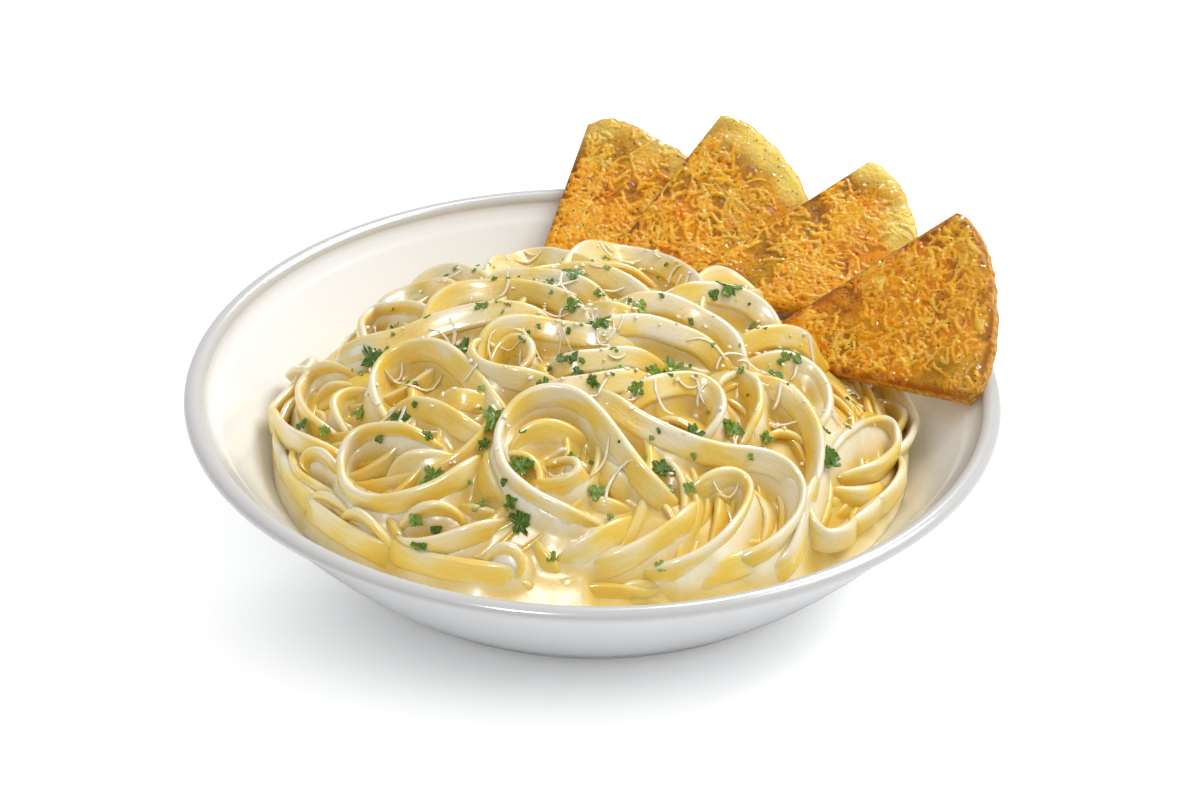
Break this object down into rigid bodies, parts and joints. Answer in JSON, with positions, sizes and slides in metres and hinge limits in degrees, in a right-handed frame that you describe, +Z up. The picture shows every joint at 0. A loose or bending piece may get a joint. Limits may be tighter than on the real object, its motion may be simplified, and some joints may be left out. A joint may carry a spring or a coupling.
{
  "type": "fettuccine alfredo in a bowl",
  "caption": "Tangled wide ribbon noodles in cream sauce heaped in a round white bowl, with parsley, cheese shreds and baked flatbread wedges leaning on the rim.",
  "frame": {"origin": "centre of the bowl's flat foot, at the height of the table", "axes": "+Z up; +X to the right and +Y away from someone who sits at the dish, with the flatbreads leaning on the far rim towards +Y"},
  "size_m": [0.27, 0.2849, 0.0901],
  "materials": {
    "glazed_ceramic": "white glazed stoneware, glossy",
    "pasta": "egg noodles coated in cream sauce, moist satin",
    "flatbread": "baked bread with browned melted cheese and herbs",
    "parsley": "fresh torn parsley leaf, satin",
    "hard_cheese": "shredded hard cheese, waxy",
    "cream_sauce": "thick cream and cheese sauce, wet"
  },
  "bodies": {
    "root": {"bowl": "glazed_ceramic", "pasta": "pasta", "flatbread_1": "flatbread", "flatbread_2": "flatbread", "flatbread_3": "flatbread", "flatbread_4": "flatbread"}
  },
  "joints": []
}
